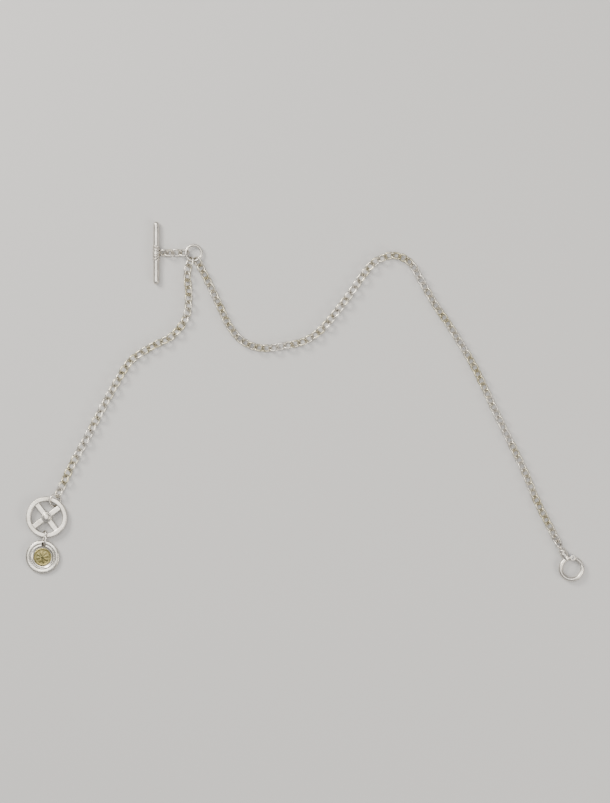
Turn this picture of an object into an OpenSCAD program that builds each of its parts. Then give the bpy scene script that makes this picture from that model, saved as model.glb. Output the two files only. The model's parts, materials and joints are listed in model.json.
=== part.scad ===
// Double-length pocket watch chain, lying as it drapes between two waistcoat buttons.
// A ring at the buttonhole joins three branches: the watch side with its swivel clasp,
// the fob side with a wheel charm and a round medal, and the short drop of the T-bar.
// +Z is up, and the origin is on the surface at the middle of the chain's outline.

/* [Chain links] */
// Wire diameter of a link
link_wire = 0.75; // [0.7:0.05:0.75]
// Outer length of a link
link_length = 4.6; // [4.6:0.05:4.7]
// Outer width of a link
link_width = 4.0; // [3.9:0.05:4.0]
// Play left where two links meet
link_play = 0.18; // [0.16:0.02:0.24]

/* [Rings] */
// Wire diameter of the ring at the buttonhole
junction_wire = 1.0; // [0.9:0.05:1.0]
// Outer diameter of the ring at the buttonhole
junction_d = 7.2; // [7:0.1:7.6]
// Wire diameter of the jump rings at the charms
jump_wire = 0.75; // [0.65:0.05:0.75]

/* [Swivel clasp] */
// Wire diameter of the hook
hook_wire = 1.7; // [1.5:0.1:1.7]
// Radius of the hook's centre line
hook_r = 4.3; // [4.3:0.1:4.5]
// Outer radius of the barrel
barrel_r = 1.5; // [1.45:0.05:1.5]

/* [T-bar] */
// Length of the bar
bar_length = 25; // [22:1:26]
// Diameter of the bar's two plain arms
bar_d = 2.3; // [2:0.1:2.6]

/* [Charms] */
// Outer diameter of the wheel charm
wheel_d = 16.4; // [16:0.2:17]
// Width of the wheel's rim
rim_width = 1.9; // [1.7:0.1:1.9]
// Width of the wheel's four arms
arm_width = 2.2; // [1.8:0.1:2.4]
// Outer diameter of the medal
medal_d = 13.4; // [13:0.2:14]
// Thickness of the medal at its rim
medal_t = 1.3; // [1.2:0.1:1.4]

/* [Hidden] */
// Moves the drape so that the middle of its outline is at the origin.
drape_shift = [-3.9, -5.2];
// Every link leans to one side or the other by this much, so that each touches the surface.
lean = 45;
links_per_run = 3;
watch_runs = 28;
fob_runs = 13;

// Where the chain lies: from the buttonhole ring down through the swag, over the second
// button and down to the watch pocket; and from the same ring down to the charms.
junction = [-40.5, 64.5];
watch_route = [
    junction, [-38, 59.5], [-33.5, 50.5], [-29.5, 42], [-26, 35], [-20.5, 29],
    [-13, 26.5], [-4, 27.5], [4, 29.5], [10.5, 34], [16.5, 41], [22.5, 49],
    [27, 55.5], [32, 61], [39, 63.5], [45.5, 61], [50, 54], [55.5, 44.5], [62.5, 34],
    [71.5, 19], [81, -1], [91, -21.5], [96, -33.5], [101.5, -44.5], [108, -57]
];
fob_route = [
    junction, [-43, 57], [-42.5, 48], [-43.5, 39], [-49, 31.5], [-57.5, 27], [-66, 21],
    [-72, 11.5], [-77.5, 1.5], [-83, -9], [-89, -20], [-93.5, -29.5], [-98, -38.5]
];
tbar_route = [junction, junction - [20, 0]];

pitch = link_length - 2 * link_wire - link_play;
link_tip = (link_length - link_wire) / 2;    // from a link's middle to its end wire
chain_z = (link_width - link_wire) / 2 * sin(lean) + link_wire / 2;
junction_r = (junction_d - junction_wire) / 2;
junction_play = 0.2;
first_link = junction_r - (junction_wire + link_wire) / 2 - junction_play + link_tip;

// Clasp, along its own axis from the middle of the swivel's eye
clasp_ring_r = (link_width - link_wire) / 2;
eye_r = 1.5;
eye_wire = 0.9;
neck_r = 0.5;
neck_play = 0.06;
head_r = 0.85;
head_x = 4;
head_t = 0.8;
cavity_r = 0.95;
cavity_x = [3.4, 5.4];
barrel_x = [2.6, 7.4];
barrel_bevel = 0.3;
barrel_taper = 0.5;
barrel_bands = [1.0, 1.25, 1.6, 1.85, 3.6];    // steps of the groove and the taper, from the near end
groove_depth = 0.25;
hook_root = 0.4;       // how far the hook's circle runs into the barrel
hook_x = barrel_x[1] + hook_r - hook_root;
// The gate's tip and the hook's nose meet on a round seat about the gate's pin
seat_r = 5.5;
seat_play = 0.1;
seat_band = 2.5;
seat_from = -10;
seat_angle = 50;
nose_angle = 80;
gate_tip_angle = 50;
pivot_angle = 146;
pivot = [hook_x + hook_r * cos(pivot_angle), hook_r * sin(pivot_angle)];
pin_r = 0.35;
pin_play = 0.03;
pin_head_r = 0.55;
pin_head_t = 0.15;
boss_r = 1.15;
boss_t = 2.3;
slot_r = 1.4;
slot_t = 0.94;
lug_r = 0.98;
lug_t = 0.8;
lug_width = 1.2;
lug_angle = 120;       // where the lug's plate starts, inside the gate's wire
gate_wire = hook_wire - 0.2;
gate_root_angle = 126;
spring_r = 1.1;
spring_from = 150;
spring_angle = 130;
spring_t = 0.18;
spring_width = 0.7;

// T-bar, from the middle of its eye
bar_x = 2.7;
collar_r = 1.5;
collar_length = 3.4;
bead_y = 2.5;
bead_r = 0.35;

// Charms
fob_ring_r = 2.5;
fob_ring_lean = 37.5;
fob_ring_play = 0.3;
fob_ring_slack = 0.9;  // from the ring's far side to the wheel's rim
fob_ring_z = fob_ring_r * sin(fob_ring_lean) + jump_wire / 2;
rim_t = 1.4;
rim_r = (wheel_d - rim_width) / 2;
rim_round_d = 2.0;     // rounds the corners of the rim's section
wheel_z = 1.9;
wheel_turn = -8;       // turns the arms from the diagonals
rim_play = 0.36;
hub_r = 2.1;
hub_foot_r = 1.8;
hub_top_r = 1.0;
hub_rise = 0.45;
arm_t = 1.1;
medal_ring_length = 6.5;
medal_ring_width = 4.0;
medal_ring_lean = 70;
medal_ring_z = (medal_ring_width - jump_wire) / 2 * sin(medal_ring_lean) + jump_wire / 2;
medal_heading = -96;   // from the wheel's middle to the medal's
hole_r = 0.95;
hole_in = 1.75;        // from the medal's edge to the middle of its hole
hole_shift = 0.25;     // the ring lies this far past the middle of the hole
medal_tilt = 4.6;
medal_z = 1.6;         // of the hole's middle
web_t = 0.6;
rim_top_w = 1.2;
rim_slope_w = 0.4;
rim_slope_t = 0.2;
edge_bevel = 0.25;
inlay_r = 3.65;
inlay_seat_r = 3.75;
inlay_crown_r = 3.35;
inlay_edge_t = 0.2;
inlay_crown_t = 0.4;
inlay_t = 0.5;
over = 1;              // how far a cut runs past a face

$fn = 48;

function run_name(stem, i) = str(stem, i < 10 ? "0" : "", i);

// ---- the drape: a smooth curve through the route, measured along its length ----

function curve_point(a, b, c, d, t) =
    b + (c - a) * t / 2 + (2 * a - 5 * b + 4 * c - d) * t * t / 2 + (3 * b - a - 3 * c + d) * t * t * t / 2;

// A point of a route, its ends standing in for the points beyond them
function route_point(route, k) = route[min(max(k, 0), len(route) - 1)];

function curve_between(route, k, t) = curve_point(
    route_point(route, k - 1), route_point(route, k), route_point(route, k + 1),
    route_point(route, k + 2), t
);

function smooth(route, steps = 12) = [
    for (k = [0 : len(route) - 2], j = [0 : steps - 1]) curve_between(route, k, j / steps),
    route[len(route) - 1]
];

function distances(line) = [
    for (i = 0, s = 0; i < len(line); s = s + norm(route_point(line, i + 1) - line[i]), i = i + 1) s
];

// A route as [[distance, x], ...] and [[distance, y], ...]
function measured(route) =
    let (line = smooth(route), far = distances(line))
    [for (axis = [0, 1]) [for (i = [0 : len(line) - 1]) [far[i], line[i][axis] + drape_shift[axis]]]];

watch_way = measured(watch_route);
fob_way = measured(fob_route);
tbar_way = measured(tbar_route);

function at(way, s) = [lookup(s, way[0]), lookup(s, way[1])];
function heading(way, s) =
    let (step = at(way, s + pitch / 2) - at(way, s - pitch / 2)) atan2(step[1], step[0]);
function link_s(i) = first_link + i * pitch;
function side(i) = i % 2 == 0 ? 1 : -1;

module place(way, s, z) translate(concat(at(way, s), z)) rotate(heading(way, s)) children();

// ---- wire shapes ----

module wire_ring(r, wire) rotate_extrude() translate([r, 0]) circle(d = wire);

// An oval link of round wire, its length along X
module oval_link(length, width, wire) {
    bend = (width - wire) / 2;
    straight = length - width;
    for (turn = [0, 180]) rotate(turn) {
        translate([straight / 2, 0]) rotate(-90) rotate_extrude(angle = 180)
            translate([bend, 0]) circle(d = wire);
        translate([-straight / 2, bend]) rotate([0, 90, 0]) cylinder(d = wire, h = straight);
    }
}

module chain_link(way, i) place(way, link_s(i), chain_z) rotate([side(i) * lean, 0, 0])
    oval_link(link_length, link_width, link_wire);

module chain_run(way, run)
    for (k = [0 : links_per_run - 1]) chain_link(way, (run - 1) * links_per_run + k);

// ---- buttonhole ring and T-bar ----

module junction_ring() color("silver")
    translate(concat(junction + drape_shift, chain_z)) wire_ring(junction_r, junction_wire);

module t_bar_drop() color("silver") chain_run(tbar_way, 1);

module t_bar() {
    last = links_per_run - 1;
    eye_s = link_s(last) + link_tip - (link_wire + eye_wire) / 2 - link_play + eye_r;
    color("gainsboro") place(tbar_way, eye_s, chain_z) {
        rotate([side(last + 1) * lean, 0, 0]) wire_ring(eye_r, eye_wire);
        translate([bar_x, 0]) rotate([90, 0, 0]) {
            cylinder(r = collar_r, h = collar_length, center = true);
            cylinder(d = bar_d, h = bar_length - bar_d, center = true);
            for (end = [-1, 1]) {
                translate([0, 0, end * (bar_length - bar_d) / 2]) sphere(d = bar_d);
                translate([0, 0, end * bead_y]) rotate_extrude()
                    translate([bar_d / 2, 0]) circle(r = bead_r);
            }
        }
    }
}

// ---- watch end: ring, swivel, hook and gate ----

watch_last = watch_runs * links_per_run - 1;

// From the middle of the last link, along its own heading
module at_watch_end(x) place(watch_way, link_s(watch_last), chain_z) translate([x, 0]) children();

clasp_ring_x = link_tip - link_wire - link_play + clasp_ring_r;
eye_x = clasp_ring_x + clasp_ring_r - (link_wire + eye_wire) / 2 - link_play + eye_r;

module clasp_ring() color("silver") at_watch_end(clasp_ring_x)
    rotate([side(watch_last + 1) * lean, 0, 0]) wire_ring(clasp_ring_r, link_wire);

module clasp_swivel_eye() color("silver") at_watch_end(eye_x) {
    rotate([side(watch_last) * lean, 0, 0]) wire_ring(eye_r, eye_wire);
    rotate([0, 90, 0]) {
        translate([0, 0, eye_r]) cylinder(r = neck_r, h = head_x - eye_r);
        translate([0, 0, head_x]) cylinder(r = head_r, h = head_t);
    }
}

// The barrel's outline as [radius, distance from its near end]
barrel_outline = let (length = barrel_x[1] - barrel_x[0]) [
    [0, 0], [barrel_r - barrel_bevel, 0], [barrel_r, barrel_bevel],
    [barrel_r, barrel_bands[0]], [barrel_r - groove_depth, barrel_bands[1]],
    [barrel_r - groove_depth, barrel_bands[2]], [barrel_r, barrel_bands[3]],
    [barrel_r, barrel_bands[4]], [barrel_r - barrel_taper, length], [0, length]
];

module barrel() rotate([0, 90, 0]) difference() {
    translate([0, 0, barrel_x[0]]) rotate_extrude() polygon(barrel_outline);
    translate([0, 0, barrel_x[0] - over])
        cylinder(r = neck_r + neck_play, h = cavity_x[0] - barrel_x[0] + 2 * over);
    translate([0, 0, cavity_x[0]]) cylinder(r = cavity_r, h = cavity_x[1] - cavity_x[0]);
}

// Part of the hook's circle, from one angle to another
module hook_arc(from, to, wire) translate([hook_x, 0]) rotate(from)
    rotate_extrude(angle = to - from) translate([hook_r, 0]) circle(d = wire);

module clasp_body() color("silver") at_watch_end(eye_x) difference() {
    union() {
        barrel();
        hook_arc(pivot_angle, 360 + nose_angle, hook_wire);
        translate(pivot) cylinder(r = boss_r, h = boss_t, center = true);
    }
    translate(pivot) rotate(seat_from) rotate_extrude(angle = seat_angle)
        translate([seat_r - seat_band, -hook_wire]) square([seat_band, 2 * hook_wire]);
    translate(pivot) cylinder(r = slot_r, h = slot_t, center = true);
    translate(pivot) cylinder(r = pin_r, h = boss_t + 2 * over, center = true);
}

module gate_lug() translate([hook_x, 0]) rotate(lug_angle)
    rotate_extrude(angle = pivot_angle - lug_angle)
        translate([hook_r - lug_width / 2, -lug_t / 2]) square([lug_width, lug_t]);

module clasp_gate() color("silver") at_watch_end(eye_x) difference() {
    union() {
        translate(pivot) cylinder(r = lug_r, h = lug_t, center = true);
        gate_lug();
        intersection() {
            hook_arc(gate_tip_angle, gate_root_angle, gate_wire);
            translate(pivot) cylinder(r = seat_r - seat_play, h = 2 * gate_wire, center = true);
        }
    }
    translate(pivot) cylinder(r = pin_r + pin_play, h = boss_t, center = true);
}

module clasp_gate_pin() color("darkgray") at_watch_end(eye_x) translate(pivot) {
    cylinder(r = pin_r, h = boss_t, center = true);
    for (face = [0, 180]) rotate([face, 0, 0]) translate([0, 0, boss_t / 2])
        cylinder(r1 = pin_head_r, r2 = pin_r, h = pin_head_t);
}

module clasp_gate_spring() color("dimgray") at_watch_end(eye_x) translate(pivot)
    rotate(spring_from) rotate_extrude(angle = spring_angle)
        translate([spring_r, -spring_width / 2]) square([spring_t, spring_width]);

// ---- charm end: ring, wheel, ring and medal ----

fob_last = fob_runs * links_per_run - 1;

module at_fob_end(x, z) place(fob_way, link_s(fob_last), z) translate([x, 0]) children();

fob_ring_x = link_tip - (link_wire + jump_wire) / 2 - fob_ring_play + fob_ring_r;
wheel_x = fob_ring_x + fob_ring_r - jump_wire / 2 - fob_ring_slack - rim_width + wheel_d / 2;
wheel_angle = heading(fob_way, link_s(fob_last));
medal_ring_r = rim_r - rim_width / 2 - rim_play + (medal_ring_length - jump_wire) / 2 - jump_wire / 2;
hole_d = medal_ring_r + (medal_ring_length - jump_wire) / 2 - hole_shift;

module fob_ring() color("silver") at_fob_end(fob_ring_x, fob_ring_z)
    rotate([side(fob_last + 1) * fob_ring_lean, 0, 0]) wire_ring(fob_ring_r, jump_wire);

// The wheel's middle, with X turned to a heading of the whole drape
module at_wheel(turn, z) at_fob_end(wheel_x, z) rotate(turn - wheel_angle) children();

module wheel_charm() color("silver") at_wheel(wheel_turn, wheel_z) {
    rotate_extrude() translate([rim_r, 0]) intersection() {
        square([rim_width, rim_t], center = true);
        circle(d = rim_round_d);
    }
    for (turn = [45, 135]) rotate(turn) cube([2 * rim_r, arm_width, arm_t], center = true);
    cylinder(r = hub_r, h = rim_t, center = true);
    for (face = [0, 180]) rotate([face, 0, 0]) translate([0, 0, rim_t / 2])
        cylinder(r1 = hub_foot_r, r2 = hub_top_r, h = hub_rise);
}

module medal_ring() color("silver") at_wheel(medal_heading, medal_ring_z) translate([medal_ring_r, 0])
    rotate([medal_ring_lean, 0, 0]) oval_link(medal_ring_length, medal_ring_width, jump_wire);

// The medal's middle, tipped about its hole so that the far edge meets the surface
module at_medal() at_wheel(medal_heading, medal_z) translate([hole_d, 0]) rotate([0, medal_tilt, 0])
    translate([medal_d / 2 - hole_in, 0]) children();

// Half of the medal's section, from the middle out along one face
medal_outline = [
    [0, web_t / 2], [inlay_seat_r, web_t / 2],
    [medal_d / 2 - rim_top_w - rim_slope_w, medal_t / 2 - rim_slope_t],
    [medal_d / 2 - rim_top_w, medal_t / 2],
    [medal_d / 2 - edge_bevel, medal_t / 2], [medal_d / 2, medal_t / 2 - edge_bevel]
];
last_point = len(medal_outline) - 1;

module medal_body() color("silver") at_medal() difference() {
    rotate_extrude() polygon(concat(
        medal_outline,
        [for (i = [last_point : -1 : 0]) [medal_outline[i][0], -medal_outline[i][1]]]
    ));
    translate([hole_in - medal_d / 2, 0]) cylinder(r = hole_r, h = medal_t + 2 * over, center = true);
}

// A gilt disc on each face of the medal's web
module medal_inlay() color("darkkhaki") at_medal() for (face = [0, 180]) rotate([face, 0, 0])
    translate([0, 0, web_t / 2]) rotate_extrude() polygon([
        [0, 0], [inlay_r, 0], [inlay_r, inlay_edge_t], [inlay_crown_r, inlay_crown_t], [0, inlay_t]
    ]);

junction_ring();
for (i = [1 : watch_runs])
    color("silver") chain_run(watch_way, i);
clasp_ring();
clasp_swivel_eye();
clasp_body();
clasp_gate();
clasp_gate_pin();
clasp_gate_spring();
for (i = [1 : fob_runs])
    color("silver") chain_run(fob_way, i);
fob_ring();
wheel_charm();
medal_ring();
medal_body();
medal_inlay();
t_bar_drop();
t_bar();
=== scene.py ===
"""Looks of the double pocket watch chain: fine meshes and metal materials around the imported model.

Every piece replaces one CAD node and rides on its body. Shapes are built in millimetres in a
piece's own frame, which is found from its CAD node or from its joint, and then put in place.
"""

import json
import math
import random

import bmesh
import bpy
import numpy as np
from mathutils import Matrix, Vector


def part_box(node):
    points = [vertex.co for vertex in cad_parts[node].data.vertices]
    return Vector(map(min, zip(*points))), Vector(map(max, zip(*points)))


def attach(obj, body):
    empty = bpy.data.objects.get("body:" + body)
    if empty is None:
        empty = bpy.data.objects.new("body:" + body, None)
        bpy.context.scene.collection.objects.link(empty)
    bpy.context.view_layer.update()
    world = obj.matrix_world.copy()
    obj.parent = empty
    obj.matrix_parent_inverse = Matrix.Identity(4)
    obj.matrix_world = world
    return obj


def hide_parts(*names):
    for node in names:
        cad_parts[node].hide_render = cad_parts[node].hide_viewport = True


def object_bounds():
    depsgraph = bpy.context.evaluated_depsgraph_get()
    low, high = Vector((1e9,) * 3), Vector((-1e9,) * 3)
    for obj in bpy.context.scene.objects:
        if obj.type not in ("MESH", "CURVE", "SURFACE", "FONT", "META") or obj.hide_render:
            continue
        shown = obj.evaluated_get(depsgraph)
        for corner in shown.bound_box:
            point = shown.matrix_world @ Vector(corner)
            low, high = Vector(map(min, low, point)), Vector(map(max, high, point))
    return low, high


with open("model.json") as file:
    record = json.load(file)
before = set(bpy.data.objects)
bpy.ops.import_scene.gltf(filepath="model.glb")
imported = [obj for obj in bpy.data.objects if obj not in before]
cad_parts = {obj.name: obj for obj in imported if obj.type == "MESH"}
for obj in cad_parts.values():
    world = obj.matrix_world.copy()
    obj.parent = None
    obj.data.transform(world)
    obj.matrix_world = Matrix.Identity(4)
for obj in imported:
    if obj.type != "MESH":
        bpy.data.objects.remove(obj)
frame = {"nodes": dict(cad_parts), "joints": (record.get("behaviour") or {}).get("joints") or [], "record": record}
cad_box = [list(corner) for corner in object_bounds()]
nodes = frame["nodes"]
joints = {joint["name"]: joint for joint in frame["joints"]}
body_of_node = {
    node: body for body, members in frame["record"]["behaviour"]["bodies"].items() for node in members
}

MM = 0.001
draw = random.Random(7)

# The design's sizes, in mm, which the CAD solids have too
LINK_WIRE, LINK_LENGTH, LINK_WIDTH = 0.75, 4.6, 4.0
JUNCTION_WIRE, JUNCTION_D = 1.0, 7.2
JUMP_WIRE, FOB_RING_D = 0.75, 5.75
MEDAL_RING_LENGTH, MEDAL_RING_WIDTH = 6.5, 4.0
LEAN = 45
# how far the drawn wires stay inside the CAD wires, and how far a link may roll, in degrees
WIRE_SHY, LINK_ROLL = 0.006, 0.3
EYE_R, EYE_WIRE = 1.5, 0.9
# an eye's first and last angle in degrees, and its number of points
EYE_TURN = (0, 354, 60)
NECK_R, NECK_BORE_R, HEAD_R, HEAD_FROM, HEAD_TO = 0.5, 0.56, 0.85, 4.0, 4.8
CAVITY_R, CAVITY_FROM, CAVITY_TO = 0.95, 3.4, 5.4
HOOK_R, HOOK_WIRE, HOOK_X = 4.3, 1.7, 11.3
BARREL_R, BARREL_FROM, BARREL_TO = 1.5, 2.6, 7.4
COLLAR_BEADS = 18
PIVOT_ANGLE, NOSE_ANGLE, GATE_TIP_ANGLE, GATE_ROOT_ANGLE, LUG_ANGLE = 146, 80, 50, 126, 120
SEAT_R, SEAT_PLAY = 5.5, 0.1
BOSS_R, BOSS_T, SLOT_R, SLOT_T = 1.15, 2.3, 1.4, 0.94
GATE_WIRE, LUG_R, LUG_T, LUG_WIDTH, PIN_R, PIN_PLAY = 1.5, 0.98, 0.8, 1.2, 0.35, 0.03
SPRING_R, SPRING_T, SPRING_WIDTH, SPRING_FROM, SPRING_ANGLE = 1.1, 0.18, 0.7, 150, 130
BAR_LENGTH, BAR_D, COLLAR_R, BEAD_Y, BEAD_DRAWN_R = 25.0, 2.3, 1.5, 2.5, 0.34
WHEEL_R, RIM_WIDTH, RIM_T = 8.2, 1.9, 1.4
ARM_WIDTH, ARM_T, HUB_R, HUB_TOP, WHEEL_TURN = 2.2, 1.1, 2.1, 1.15, -8
MEDAL_R, MEDAL_T, WEB_T, INLAY_R, INLAY_T = 6.7, 1.3, 0.6, 3.75, 0.5
HOLE_R, HOLE_IN = 0.95, 1.75


# ---------------------------------------------------------------- meshes

def loose_parts(obj):
    """The separate closed meshes of a CAD node, as arrays of triangle corners in mm."""
    bm = bmesh.new()
    bm.from_mesh(obj.data)
    bmesh.ops.remove_doubles(bm, verts=bm.verts, dist=1e-7)
    bmesh.ops.triangulate(bm, faces=bm.faces)
    seen, parts = set(), []
    for start in bm.faces:
        if start.index in seen:
            continue
        seen.add(start.index)
        group, edge_on = [], [start]
        while edge_on:
            face = edge_on.pop()
            group.append([[c / MM for c in v.co] for v in face.verts])
            for edge in face.edges:
                for other in edge.link_faces:
                    if other.index not in seen:
                        seen.add(other.index)
                        edge_on.append(other)
        parts.append(np.array(group))
    bm.free()
    return parts


def own_frame(triangles):
    """A matrix whose axes are a part's long, middle and short directions, from its surface."""
    a, b, c = triangles[:, 0], triangles[:, 1], triangles[:, 2]
    area = np.linalg.norm(np.cross(b - a, c - a), axis=1) / 2
    mids = np.stack([(a + b) / 2, (b + c) / 2, (c + a) / 2], axis=1)
    centre = (area[:, None] * mids.mean(axis=1)).sum(axis=0) / area.sum()
    off = mids - centre
    spread = np.einsum("t,tki,tkj->ij", area / 3, off, off)
    _, axes = np.linalg.eigh(spread)
    long, short = axes[:, 2], axes[:, 0]
    if long[0] + 0.3 * long[1] < 0:
        long = -long
    if short[2] < 0:
        short = -short
    middle = np.cross(short, long)
    matrix = Matrix.Identity(4)
    for i in range(3):
        matrix[i][0], matrix[i][1], matrix[i][2], matrix[i][3] = long[i], middle[i], short[i], centre[i]
    return matrix


def along(origin, direction):
    """A matrix at origin with X along direction, which lies flat, and Z up."""
    angle = math.atan2(direction[1], direction[0])
    return Matrix.Translation(Vector(origin)) @ Matrix.Rotation(angle, 4, "Z")


def new_mesh(name, shapes):
    """One object of several (bmesh, matrix) shapes, in metres."""
    mesh = bpy.data.meshes.new(name)
    whole = bmesh.new()
    for shape, matrix in shapes:
        shape.transform(Matrix.Scale(MM, 4) @ matrix)
        part = bpy.data.meshes.new("part")
        shape.to_mesh(part)
        whole.from_mesh(part)
        bpy.data.meshes.remove(part)
        shape.free()
    bmesh.ops.recalc_face_normals(whole, faces=whole.faces)
    whole.to_mesh(mesh)
    whole.free()
    mesh.polygons.foreach_set("use_smooth", [True] * len(mesh.polygons))
    obj = bpy.data.objects.new(name, mesh)
    bpy.context.scene.collection.objects.link(obj)
    return obj


def sweep(line, radius, sides, closed):
    """A round wire along a line of points. radius is a number, or a list with one for each point."""
    bm = bmesh.new()
    points = [Vector(p) for p in line]
    count = len(points)
    radii = radius if isinstance(radius, list) else [radius] * count
    rings, across = [], None
    for i, point in enumerate(points):
        before = points[i - 1] if closed or i > 0 else point
        after = points[(i + 1) % count] if closed or i < count - 1 else point
        forward = (after - before).normalized()
        if across is None:
            across = forward.orthogonal().normalized()
            if abs(forward.z) < 0.9:
                across = Vector((0, 0, 1))
        across = (across - forward * across.dot(forward)).normalized()
        other = forward.cross(across)
        rings.append([
            bm.verts.new(point + (across * math.cos(t) + other * math.sin(t)) * radii[i])
            for t in (2 * math.pi * k / sides for k in range(sides))
        ])
    last = count if closed else count - 1
    for i in range(last):
        one, two = rings[i], rings[(i + 1) % count]
        for k in range(sides):
            j = (k + 1) % sides
            bm.faces.new((one[k], one[j], two[j], two[k]))
    if not closed:
        bm.faces.new(rings[0])
        bm.faces.new(reversed(rings[-1]))
    return bm


def lathe(outline, sides=96):
    """A solid turned about Z from (radius, height) points, which start and end on the axis."""
    bm = bmesh.new()
    rings = []
    for r, z in outline:
        if r < 1e-6:
            rings.append([bm.verts.new((0, 0, z))])
        else:
            rings.append([
                bm.verts.new((r * math.cos(t), r * math.sin(t), z))
                for t in (2 * math.pi * k / sides for k in range(sides))
            ])
    for one, two in zip(rings, rings[1:]):
        for k in range(sides):
            j = (k + 1) % sides
            if len(one) == 1 and len(two) == 1:
                continue
            if len(one) == 1:
                bm.faces.new((one[0], two[k], two[j]))
            elif len(two) == 1:
                bm.faces.new((one[k], two[0], one[j]))
            else:
                bm.faces.new((one[k], two[k], two[j], one[j]))
    return bm


def ring_lathe(outline, sides=128):
    """A ring turned about Z from a closed outline of (radius, height) points."""
    bm = bmesh.new()
    rings = [
        [bm.verts.new((r * math.cos(2 * math.pi * k / sides), r * math.sin(2 * math.pi * k / sides), z))
         for r, z in outline]
        for k in range(sides)
    ]
    count = len(outline)
    for k in range(sides):
        one, two = rings[k], rings[(k + 1) % sides]
        for i in range(count):
            j = (i + 1) % count
            bm.faces.new((one[i], two[i], two[j], one[j]))
    return bm


def rounded_box(size, edge, segments=3):
    """A box with rounded edges, centred on the origin."""
    bm = bmesh.new()
    bmesh.ops.create_cube(bm, size=1)
    bmesh.ops.scale(bm, vec=size, verts=bm.verts)
    bmesh.ops.bevel(bm, geom=bm.edges, offset=edge, segments=segments, profile=0.5, affect="EDGES")
    return bm


def circle_points(r, start, end, count, centre=(0, 0)):
    """Points on an arc in the XY plane, from one angle to another in degrees."""
    step = (end - start) / (count - 1)
    angles = [math.radians(start + step * i) for i in range(count)]
    return [(centre[0] + r * math.cos(a), centre[1] + r * math.sin(a), 0) for a in angles]


def oval_points(length, width, wire, bend_steps=14, side_steps=4):
    """The centre line of an oval link that lies in the XY plane with its length along X."""
    r, half = (width - wire) / 2, (length - width) / 2
    line = []
    for sign in (1, -1):
        for i in range(bend_steps):
            a = math.radians(-90 + 180 * i / bend_steps)
            line.append((sign * (half + r * math.cos(a)), sign * r * math.sin(a), 0))
        for i in range(side_steps):
            line.append((sign * (half - 2 * half * i / side_steps), sign * r, 0))
    return line


def fuse(obj, voxel, smooth=2):
    """Joins the overlapping shapes of a casting into one skin, with small fillets where they meet."""
    remesh = obj.modifiers.new("fuse", "REMESH")
    remesh.mode = "VOXEL"
    remesh.voxel_size = voxel * MM
    remesh.use_smooth_shade = True
    soften = obj.modifiers.new("soften", "SMOOTH")
    soften.factor = 0.5
    soften.iterations = smooth
    apply_modifiers(obj)
    return obj


def apply_modifiers(obj):
    graph = bpy.context.evaluated_depsgraph_get()
    mesh = bpy.data.meshes.new_from_object(obj.evaluated_get(graph))
    obj.modifiers.clear()
    old, obj.data = obj.data, mesh
    bpy.data.meshes.remove(old)
    mesh.polygons.foreach_set("use_smooth", [True] * len(mesh.polygons))


def cut(obj, shape, matrix, operation="DIFFERENCE"):
    """Cuts a piece with a closed shape, in mm."""
    cutter = new_mesh("cutter", [(shape, matrix)])
    step = obj.modifiers.new("cut", "BOOLEAN")
    step.operation = operation
    step.object = cutter
    apply_modifiers(obj)
    bpy.data.objects.remove(cutter)


def sector(inner, outer, start, angle, thickness, steps=24):
    """Part of a flat ring about Z, from one angle on, in degrees."""
    bm = bmesh.new()
    rows = []
    for i in range(steps + 1):
        a = math.radians(start + angle * i / steps)
        rows.append([
            bm.verts.new((r * math.cos(a), r * math.sin(a), z * thickness / 2))
            for r, z in ((inner, -1), (outer, -1), (outer, 1), (inner, 1))
        ])
    for one, two in zip(rows, rows[1:]):
        for k in range(4):
            bm.faces.new((one[k], two[k], two[(k + 1) % 4], one[(k + 1) % 4]))
    bm.faces.new(reversed(rows[0]))
    bm.faces.new(rows[-1])
    return bm


def drum(radius, thickness, sides=64):
    half = thickness / 2
    return lathe([(0, -half), (radius, -half), (radius, half), (0, half)], sides)


def soften_edges(obj, width):
    """Small round edges where the shape turns sharply."""
    bevel = obj.modifiers.new("edges", "BEVEL")
    bevel.width = width * MM
    bevel.segments = 2
    bevel.limit_method = "ANGLE"
    bevel.angle_limit = math.radians(40)
    apply_modifiers(obj)


def finish_piece(obj, node, material):
    """The piece takes the node's place on its body."""
    obj.data.materials.clear()
    obj.data.materials.append(material)
    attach(obj, body_of_node[node])
    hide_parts(node)
    return obj


# ---------------------------------------------------------------- materials

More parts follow.
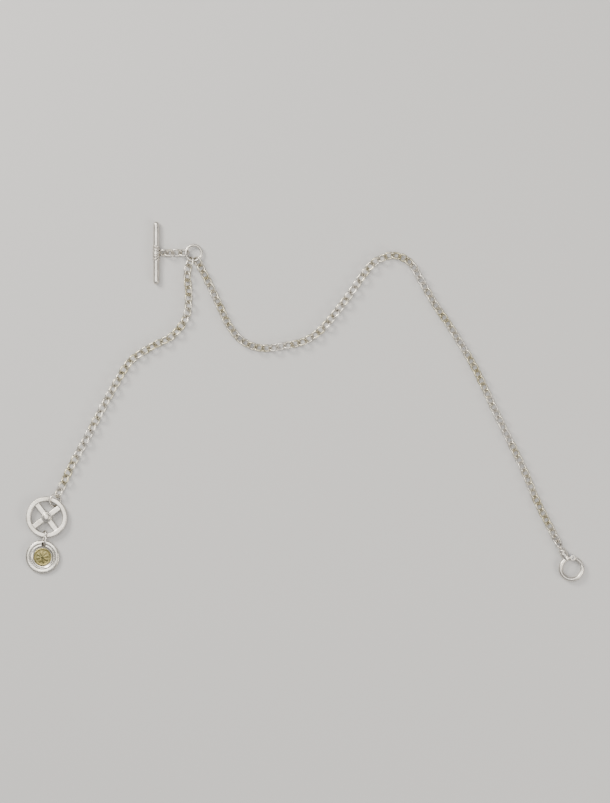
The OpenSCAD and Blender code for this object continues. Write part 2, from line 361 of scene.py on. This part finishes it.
def metal(
    name, bright, dull, dark, patch_mm=6.0, rough=(0.2, 0.42), scratch=0.25, dents=0.15, crevice_mm=0.8,
):
    """A worn metal: two tones in soft patches, dark film in the crevices, fine scratches and small dents."""
    material = bpy.data.materials.new(name)
    material.use_nodes = True
    tree = material.node_tree
    tree.nodes.clear()
    link = tree.links.new

    def node(kind, **values):
        made = tree.nodes.new(kind)
        for key, value in values.items():
            if isinstance(value, (int, float, tuple)) and key in made.inputs:
                made.inputs[key].default_value = value
            else:
                setattr(made, key, value)
        return made

    def ramp(source, stops):
        made = node("ShaderNodeValToRGB")
        while len(made.color_ramp.elements) < len(stops):
            made.color_ramp.elements.new(0.5)
        for element, (at, colour) in zip(made.color_ramp.elements, stops):
            element.position = at
            element.color = (*colour, 1) if isinstance(colour, tuple) else (colour, colour, colour, 1)
        link(source, made.inputs["Fac"])
        return made.outputs["Color"]

    def mix(kind, factor, one, two):
        made = node("ShaderNodeMix", data_type="RGBA", blend_type=kind)
        for source, socket in ((factor, 0), (one, 6), (two, 7)):
            if isinstance(source, (float, tuple)):
                made.inputs[socket].default_value = (*source, 1) if isinstance(source, tuple) else source
            else:
                link(source, made.inputs[socket])
        return made.outputs[2]

    place = node("ShaderNodeTexCoord").outputs["Object"]

    def noise(size_mm, detail=3.0, roughness=0.55):
        made = node("ShaderNodeTexNoise", Scale=1 / (size_mm * MM), Detail=detail, Roughness=roughness)
        link(place, made.inputs["Vector"])
        return made.outputs["Fac"]

    patches = ramp(noise(patch_mm), [(0.38, 0.0), (0.62, 1.0)])
    tone = mix("MIX", patches, dull, bright)
    specks = ramp(noise(0.35, 4.0, 0.7), [(0.35, 0.72), (0.6, 1.0)])
    tone = mix("MULTIPLY", 0.6, tone, specks)
    hollow = node("ShaderNodeAmbientOcclusion", Distance=crevice_mm * MM, samples=6)
    film = ramp(hollow.outputs["AO"], [(0.25, 1.0), (0.8, 0.0)])
    film_patch = mix("MULTIPLY", 1.0, film, ramp(noise(1.1, 3.0), [(0.25, 0.45), (0.6, 1.0)]))
    colour = mix("MIX", film_patch, tone, dark)

    worn = node("ShaderNodeMapRange", **{"To Min": rough[0], "To Max": rough[1]})
    link(noise(1.6, 5.0, 0.65), worn.inputs["Value"])
    stain = node("ShaderNodeMath", operation="MULTIPLY_ADD")
    link(film_patch, stain.inputs[0])
    stain.inputs[1].default_value = 0.35
    link(worn.outputs["Result"], stain.inputs[2])

    stretch = node("ShaderNodeMapping")
    stretch.inputs["Scale"].default_value = (1, 9, 3)
    stretch.inputs["Rotation"].default_value = (0.3, 0.5, 0.9)
    link(place, stretch.inputs["Vector"])
    lines = node("ShaderNodeTexNoise", Scale=1 / (0.5 * MM), Detail=2.0)
    link(stretch.outputs["Vector"], lines.inputs["Vector"])
    fine = node("ShaderNodeBump", Strength=scratch, Distance=0.01 * MM)
    link(lines.outputs["Fac"], fine.inputs["Height"])
    coarse = node("ShaderNodeBump", Strength=dents, Distance=0.06 * MM)
    link(noise(0.9, 2.0), coarse.inputs["Height"])
    link(fine.outputs["Normal"], coarse.inputs["Normal"])

    shader = node("ShaderNodeBsdfPrincipled", Metallic=1.0)
    link(colour, shader.inputs["Base Color"])
    link(stain.outputs["Value"], shader.inputs["Roughness"])
    link(coarse.outputs["Normal"], shader.inputs["Normal"])
    output = node("ShaderNodeOutputMaterial")
    link(shader.outputs["BSDF"], output.inputs["Surface"])
    return material


SILVER = (0.78, 0.735, 0.66)
GREY_SILVER = (0.62, 0.58, 0.51)
TARNISH = (0.12, 0.10, 0.07)
BRASSY = (0.60, 0.54, 0.36)

chain_metal = metal("chain_silver", SILVER, BRASSY, TARNISH, patch_mm=9.0)
ring_metal = metal("ring_silver", SILVER, GREY_SILVER, TARNISH, patch_mm=5.0)
wheel_metal = metal(
    "wheel_silver", (0.73, 0.69, 0.62), (0.54, 0.505, 0.43), (0.10, 0.09, 0.07),
    patch_mm=3.5, rough=(0.26, 0.48), dents=0.35, crevice_mm=1.4,
)
medal_metal = metal(
    "medal_silver", (0.84, 0.80, 0.72), (0.64, 0.60, 0.51), (0.13, 0.11, 0.08),
    patch_mm=3.0, rough=(0.18, 0.36), crevice_mm=0.9,
)
gilt_metal = metal(
    "old_gilt", (0.38, 0.315, 0.125), (0.21, 0.19, 0.085), (0.06, 0.055, 0.03),
    patch_mm=1.6, rough=(0.3, 0.55), dents=0.4, crevice_mm=0.7,
)
pin_metal = metal("pin_steel", (0.48, 0.47, 0.45), (0.36, 0.35, 0.33), (0.06, 0.06, 0.06), patch_mm=1.0)
spring_metal = metal("spring_steel", (0.20, 0.24, 0.34), (0.25, 0.22, 0.25), (0.05, 0.05, 0.06), patch_mm=1.5)


# ---------------------------------------------------------------- chain and rings

def link_shape():
    """An oval link, a little worn inside its ends, with a soldered seam on one side."""
    line = oval_points(LINK_LENGTH, LINK_WIDTH, LINK_WIRE)
    full = LINK_WIRE / 2 - WIRE_SHY
    radii = []
    for x, y, _ in line:
        worn = 0.97 if abs(x) > 1.7 else 1.0
        radii.append(full * worn)
    seam = min(range(len(line)), key=lambda i: abs(line[i][0]) + (0 if line[i][1] > 0 else 9))
    radii[seam] = full * 0.93
    return sweep(line, radii, 18, True)


def jump_ring(length, width, wire):
    """A ring or oval bent from wire, with the fine slit where its ends meet."""
    line = oval_points(length, width, wire, bend_steps=26, side_steps=3 if length > width else 0)
    first = Vector(line[0])
    second = Vector(line[-1])
    bend = [Vector(p) for p in line[1:]]
    open_line = [first.lerp(second, 0.04)] + bend + [second, second.lerp(first, 0.86)]
    return sweep(open_line, wire / 2 - WIRE_SHY, 20, False)


def chain_run(node):
    shapes = []
    for part in loose_parts(nodes[node]):
        place = own_frame(part)
        roll = Matrix.Rotation(math.radians(draw.uniform(-LINK_ROLL, LINK_ROLL)), 4, "X")
        flip = Matrix.Rotation(math.pi * draw.randrange(2), 4, "Z")
        shapes.append((link_shape(), place @ roll @ flip))
    finish_piece(new_mesh(node + "_links", shapes), node, chain_metal)


def ring_piece(node, length, width, wire, material):
    place = own_frame(loose_parts(nodes[node])[0])
    finish_piece(new_mesh(node + "_wire", [(jump_ring(length, width, wire), place)]), node, material)


for name in sorted(nodes):
    if "_chain_" in name or name == "t_bar_drop":
        chain_run(name)
ring_piece("junction_ring", JUNCTION_D, JUNCTION_D, JUNCTION_WIRE, ring_metal)
ring_piece("clasp_ring", LINK_WIDTH, LINK_WIDTH, LINK_WIRE, ring_metal)
ring_piece("fob_ring", FOB_RING_D, FOB_RING_D, JUMP_WIRE, ring_metal)
ring_piece("medal_ring", MEDAL_RING_LENGTH, MEDAL_RING_WIDTH, JUMP_WIRE, ring_metal)


# ---------------------------------------------------------------- wheel charm

def rounded_rim(inner, outer, thickness, edge, steps=5):
    """The outline of a rim's section with rounded corners."""
    half = thickness / 2
    corners = [
        (outer - edge, half - edge, 0), (inner + edge, half - edge, 90),
        (inner + edge, edge - half, 180), (outer - edge, edge - half, 270),
    ]
    return [
        (r + edge * math.cos(math.radians(start + 90 * i / steps)),
         z + edge * math.sin(math.radians(start + 90 * i / steps)))
        for r, z, start in corners for i in range(steps + 1)
    ]


def wheel():
    low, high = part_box("wheel_charm")
    middle = (low + high) / 2 / MM
    place = Matrix.Translation(middle) @ Matrix.Rotation(math.radians(WHEEL_TURN), 4, "Z")
    shapes = [(ring_lathe(rounded_rim(WHEEL_R - RIM_WIDTH, WHEEL_R, RIM_T, 0.4)), place)]
    for turn in (45, 135):
        arm = rounded_box((2 * (WHEEL_R - RIM_WIDTH / 2), ARM_WIDTH, ARM_T), 0.3)
        for v in arm.verts:
            # an arm is a little slimmer halfway between the hub and the rim
            v.co.y *= 1 - 0.12 * math.sin(math.pi * min(abs(v.co.x) / (WHEEL_R - RIM_WIDTH), 1)) ** 2
        shapes.append((arm, place @ Matrix.Rotation(math.radians(turn), 4, "Z")))
    top, face = HUB_TOP, RIM_T / 2
    hub = [
        (0, -top), (0.7, -top + 0.03), (1.15, -top + 0.16), (1.55, -face - 0.04),
        (HUB_R - 0.15, -face + 0.05), (HUB_R, -face + 0.25),
    ]
    hub = hub + [(r, -z) for r, z in reversed(hub)]
    shapes.append((lathe(hub, 64), place))
    obj = fuse(new_mesh("wheel_casting", shapes), 0.085, smooth=4)
    finish_piece(obj, "wheel_charm", wheel_metal)


wheel()


# ---------------------------------------------------------------- medal

def medal():
    discs = loose_parts(nodes["medal_inlay"])
    place = own_frame(np.concatenate(discs))
    local = place.inverted()
    # the hole is on the side from which the medal hangs
    ring_low, ring_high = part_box("medal_ring")
    towards = local @ ((ring_low + ring_high) / 2 / MM)
    turn = Matrix.Rotation(math.atan2(towards.y, towards.x), 4, "Z")
    half, web = MEDAL_T / 2, WEB_T / 2
    side = [
        (0, web), (INLAY_R, web), (3.95, web + 0.02), (4.08, web + 0.1), (4.2, half - 0.16),
        (4.32, half - 0.05),
        (4.5, half), (4.72, half - 0.02), (4.86, half - 0.1), (5.0, half - 0.13), (5.14, half - 0.1),
        (5.28, half - 0.03), (5.6, half), (6.15, half - 0.01), (6.4, half - 0.06), (6.58, half - 0.19),
        (MEDAL_R - 0.02, half - 0.38), (MEDAL_R, 0.06),
    ]
    outline = side + [(r, -z) for r, z in reversed(side)]
    body = new_mesh("medal_round", [(lathe(outline, 160), place)])
    cut(body, drum(HOLE_R, 2 * MEDAL_T), place @ turn @ Matrix.Translation((MEDAL_R - HOLE_IN, 0, 0)))
    finish_piece(body, "medal_body", medal_metal)

    shapes = []
    for face in (0, math.pi):
        shapes.append((rosette(), place @ Matrix.Rotation(face, 4, "X") @ Matrix.Translation((0, 0, web))))
    finish_piece(new_mesh("medal_rosette", shapes), "medal_inlay", gilt_metal)


def rosette(petals=8, rings=34, sides=192):
    """A closed gilt disc with a low flower of plain petals inside a rope border."""
    def height(r, a):
        out = r / (INLAY_R - 0.1)
        if out > 0.97:
            return INLAY_T * 0.35
        border = 0.16 * math.exp(-((out - 0.88) / 0.05) ** 2) * (1 + 0.35 * math.sin(40 * a + 30 * out))
        petal = abs(math.cos(petals * a / 2)) ** 0.7
        reach = 0.36 + 0.36 * petal
        flower = 0.17 * max(0.0, 1 - (out / reach) ** 4) * (0.55 + 0.45 * petal)
        button = 0.10 * math.exp(-(out / 0.13) ** 2)
        return min(INLAY_T - 0.02, 0.2 + border + flower + button)

    bm = bmesh.new()
    radius = INLAY_R - 0.1
    top_centre = bm.verts.new((0, 0, height(0, 0)))
    loops = []
    for i in range(1, rings + 1):
        r = radius * i / rings
        loops.append([
            bm.verts.new((r * math.cos(a), r * math.sin(a), height(r, a)))
            for a in (2 * math.pi * k / sides for k in range(sides))
        ])
    loops.append([bm.verts.new((v.co.x, v.co.y, 0)) for v in loops[-1]])
    for k in range(sides):
        j = (k + 1) % sides
        bm.faces.new((top_centre, loops[0][k], loops[0][j]))
        for one, two in zip(loops, loops[1:]):
            bm.faces.new((one[k], two[k], two[j], one[j]))
    bm.faces.new(reversed(loops[-1]))
    return bm


medal()


# ---------------------------------------------------------------- T-bar

def t_bar():
    low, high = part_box("t_bar")
    centre = Vector((low.x / MM + COLLAR_R, (low.y + high.y) / 2 / MM, low.z / MM + COLLAR_R))
    upright = Matrix.Translation(centre) @ Matrix.Rotation(math.pi / 2, 4, "X")
    half, r = BAR_LENGTH / 2, BAR_D / 2
    # collar, bead, arm and round end, from the middle out
    side = [
        (COLLAR_R - 0.05, 0), (COLLAR_R, 0.15), (COLLAR_R, 0.5), (COLLAR_R - 0.16, 0.62),
        (COLLAR_R - 0.16, 0.85), (COLLAR_R, 1.0), (COLLAR_R, 1.45), (COLLAR_R - 0.12, 1.62),
        (r + 0.02, 1.78), (r, 2.1),
    ]
    for t in range(15, 180, 15):
        a = math.radians(t)
        side.append((r + BEAD_DRAWN_R * math.sin(a), BEAD_Y - BEAD_DRAWN_R * math.cos(a)))
    side += [(r, 2.9), (r, 6), (r, half - 1.6), (r, half - r)]
    for t in range(10, 90, 10):
        a = math.radians(t)
        side.append((r * math.cos(a), half - r + r * math.sin(a)))
    side += [(0, half)]
    outline = [(a, -z) for a, z in reversed(side)] + side[1:]
    eye_place = own_frame(eye_triangles("t_bar", centre, COLLAR_R))
    eye = sweep(circle_points(EYE_R, *EYE_TURN), EYE_WIRE / 2, 20, True)
    shapes = [(lathe(outline, 64), upright), (eye, eye_place)]
    obj = fuse(new_mesh("t_bar_turned", shapes), 0.07, smooth=2)
    finish_piece(obj, "t_bar", ring_metal)


def eye_triangles(node, centre, clear):
    """The triangles of an eye that stands clear of the bar behind it."""
    triangles = loose_parts(nodes[node])[0]
    return triangles[(triangles[:, :, 0] > centre.x + clear).all(axis=1)]


t_bar()


# ---------------------------------------------------------------- swivel clasp

swivel = joints["clasp_swivel"]
clasp_place = along(Vector(swivel["pos_m"]) / MM, swivel["axis"])
upright_to_x = Matrix.Rotation(math.pi / 2, 4, "Y")
hook_centre = Matrix.Translation((HOOK_X, 0, 0))
pivot_at = Matrix.Translation((
    HOOK_X + HOOK_R * math.cos(math.radians(PIVOT_ANGLE)), HOOK_R * math.sin(math.radians(PIVOT_ANGLE)), 0,
))


def hook_line(start, end, count):
    return circle_points(HOOK_R, start, end, count, (HOOK_X, 0))


def swivel_eye():
    """The eye, its neck and the head that holds it in the barrel."""
    ring = sweep(circle_points(EYE_R, *EYE_TURN), EYE_WIRE / 2, 24, True)
    neck = lathe([
        (0, EYE_R - 0.3), (0.62, EYE_R - 0.3), (0.8, EYE_R + 0.2), (0.66, EYE_R + 0.42),
        (NECK_R, EYE_R + 0.7),
        (NECK_R, HEAD_FROM), (HEAD_R - 0.08, HEAD_FROM), (HEAD_R, HEAD_FROM + 0.08), (HEAD_R, HEAD_TO - 0.2),
        (HEAD_R - 0.2, HEAD_TO), (0, HEAD_TO),
    ], 48)
    shapes = [
        (ring, clasp_place @ Matrix.Rotation(math.radians(-LEAN), 4, "X")),
        (neck, clasp_place @ upright_to_x),
    ]
    obj = fuse(new_mesh("swivel_eye", shapes), 0.06)
    finish_piece(obj, "clasp_swivel_eye", ring_metal)


def moulded_barrel():
    """The barrel with its bore, cavity, two collars and a ring of fine beads between them."""
    r, start = BARREL_R, BARREL_FROM
    outline = [
        (0, CAVITY_TO), (CAVITY_R, CAVITY_TO), (CAVITY_R, CAVITY_FROM), (NECK_BORE_R, CAVITY_FROM),
        (NECK_BORE_R, start), (1.0, start), (1.2, start + 0.06), (1.32, start + 0.2), (r - 0.06, start + 0.3),
        (r, start + 0.45), (r, start + 0.82), (r - 0.06, start + 0.95), (r - 0.24, start + 1.1),
        (r - 0.25, start + 1.75), (r - 0.06, start + 1.9), (r, start + 2.05), (r, start + 2.6),
        (r - 0.05, start + 2.75), (r - 0.2, start + 2.9), (r - 0.16, start + 3.1), (r - 0.2, start + 3.4),
        (r - 0.35, start + 3.9), (r - 0.5, start + 4.4), (r - 0.62, BARREL_TO), (0, BARREL_TO),
    ]
    shapes = [(lathe(outline, 72), clasp_place @ upright_to_x)]
    for k in range(COLLAR_BEADS):
        bead = bmesh.new()
        bmesh.ops.create_icosphere(bead, subdivisions=2, radius=0.2)
        turn = Matrix.Rotation(2 * math.pi * k / COLLAR_BEADS, 4, "X")
        shapes.append((bead, clasp_place @ turn @ Matrix.Translation((start + 1.42, 0, r - 0.24))))
    return shapes


def clasp_hook():
    start, end, count = PIVOT_ANGLE, 360 + NOSE_ANGLE, 110
    radii = []
    for i in range(count):
        part = i / (count - 1)
        radii.append(HOOK_WIRE / 2 * (0.86 + 0.14 * math.sin(math.pi * min(part / 0.9, 1)) ** 0.6))
    boss = lathe([
        (0, -BOSS_T / 2), (BOSS_R - 0.14, -BOSS_T / 2), (BOSS_R - 0.04, -BOSS_T / 2 + 0.05),
        (BOSS_R, -BOSS_T / 2 + 0.15), (BOSS_R, BOSS_T / 2 - 0.15), (BOSS_R - 0.04, BOSS_T / 2 - 0.05),
        (BOSS_R - 0.14, BOSS_T / 2), (0, BOSS_T / 2),
    ], 64)
    shapes = moulded_barrel() + [
        (sweep(hook_line(start, end, count), radii, 28, False), clasp_place),
        (boss, clasp_place @ pivot_at),
    ]
    obj = fuse(new_mesh("clasp_casting", shapes), 0.07)
    cut(obj, sector(SEAT_R - 2.5, SEAT_R, -10, 50, 2 * HOOK_WIRE), clasp_place @ pivot_at)
    cut(obj, drum(SLOT_R, SLOT_T), clasp_place @ pivot_at)
    cut(obj, drum(PIN_R, BOSS_T + 2, 32), clasp_place @ pivot_at)
    finish_piece(obj, "clasp_body", ring_metal)


def clasp_gate():
    inner, outer = HOOK_R - LUG_WIDTH / 2, HOOK_R + LUG_WIDTH / 2
    lug = sector(inner, outer, LUG_ANGLE, PIVOT_ANGLE - LUG_ANGLE, LUG_T)
    count = 60
    radii = []
    for i in range(count):
        part = i / (count - 1)
        # a shallow thumb hollow near the tip, and a fuller root
        radii.append(GATE_WIRE / 2 * (1 - 0.14 * math.exp(-((part - 0.42) / 0.1) ** 2)))
    arm = sweep(hook_line(GATE_TIP_ANGLE, GATE_ROOT_ANGLE, count), radii, 28, False)
    shapes = [
        (arm, clasp_place), (lug, clasp_place @ hook_centre), (drum(LUG_R, LUG_T), clasp_place @ pivot_at),
    ]
    obj = fuse(new_mesh("gate_arm", shapes), 0.05)
    cut(obj, drum(SEAT_R - SEAT_PLAY, 3 * GATE_WIRE, 128), clasp_place @ pivot_at, "INTERSECT")
    cut(obj, drum(PIN_R + PIN_PLAY, BOSS_T, 32), clasp_place @ pivot_at)
    finish_piece(obj, "clasp_gate", ring_metal)


def gate_pin():
    half = BOSS_T / 2
    head = [(0.55, half), (0.54, half + 0.04), (0.46, half + 0.1), (0.3, half + 0.14), (0, half + 0.15)]
    outline = [(r, -z) for r, z in reversed(head)] + [(PIN_R, -half), (PIN_R, half)] + head
    finish_piece(
        new_mesh("gate_rivet", [(lathe(outline, 48), clasp_place @ pivot_at)]),
        "clasp_gate_pin", pin_metal,
    )


def gate_spring():
    leaf = sector(SPRING_R, SPRING_R + SPRING_T, SPRING_FROM, SPRING_ANGLE, SPRING_WIDTH, 40)
    obj = new_mesh("gate_leaf", [(leaf, clasp_place @ pivot_at)])
    soften_edges(obj, 0.04)
    finish_piece(obj, "clasp_gate_spring", spring_metal)


swivel_eye()
clasp_hook()
clasp_gate()
gate_pin()
gate_spring()


# ---------------------------------------------------------------- floor, lights and camera

def area_light(name, place, size, power, target=(0, 0, 0), colour=(1, 1, 1)):
    light = bpy.data.lights.new(name, "AREA")
    light.shape = "RECTANGLE"
    light.size, light.size_y = size
    light.energy = power
    light.color = colour
    lamp = bpy.data.objects.new(name, light)
    lamp.location = place
    lamp.rotation_euler = (Vector(target) - Vector(place)).to_track_quat("-Z", "Y").to_euler()
    bpy.context.scene.collection.objects.link(lamp)


def stage():
    """A plain pale floor, an even sky, and three soft lamps: one overhead and one on each side."""
    floor = bpy.data.meshes.new("floor")
    half = 3
    corners = [(-half, -half, 0), (half, -half, 0), (half, half, 0), (-half, half, 0)]
    floor.from_pydata(corners, [], [(0, 1, 2, 3)])
    obj = bpy.data.objects.new("floor", floor)
    bpy.context.scene.collection.objects.link(obj)
    paper = bpy.data.materials.new("pale_paper")
    paper.use_nodes = True
    shader = paper.node_tree.nodes["Principled BSDF"]
    shader.inputs["Base Color"].default_value = (0.56, 0.55, 0.53, 1)
    shader.inputs["Roughness"].default_value = 0.9
    floor.materials.append(paper)

    world = bpy.data.worlds.new("studio")
    world.use_nodes = True
    sky = world.node_tree.nodes["Background"]
    sky.inputs["Color"].default_value = (0.92, 0.94, 1.0, 1)
    sky.inputs["Strength"].default_value = 0.42
    bpy.context.scene.world = world
    area_light("overhead", (-0.25, 0.3, 1.9), (1.3, 1.3), 26, colour=(1, 0.98, 0.95))
    area_light("key", (-0.5, 0.45, 0.5), (0.3, 0.3), 7, colour=(1, 0.97, 0.92))
    area_light("fill", (0.6, -0.3, 0.45), (0.5, 0.3), 3.5, colour=(1, 0.95, 0.88))


def camera():
    """Straight above the chain, as the photograph faces the waistcoat, with the chain across the frame."""
    low, high = (Vector(corner) for corner in cad_box)
    centre = (low + high) / 2
    height, margin = 1.4, 1.09
    data = bpy.data.cameras.new("camera")
    data.sensor_width = 36
    frame_w, frame_h = 610, 803
    wide = (high.x - low.x) * margin * frame_h / frame_w
    data.lens = data.sensor_width * height / wide
    obj = bpy.data.objects.new("camera", data)
    obj.location = (centre.x, centre.y, high.z + height)
    bpy.context.scene.collection.objects.link(obj)
    bpy.context.scene.camera = obj


stage()
camera()
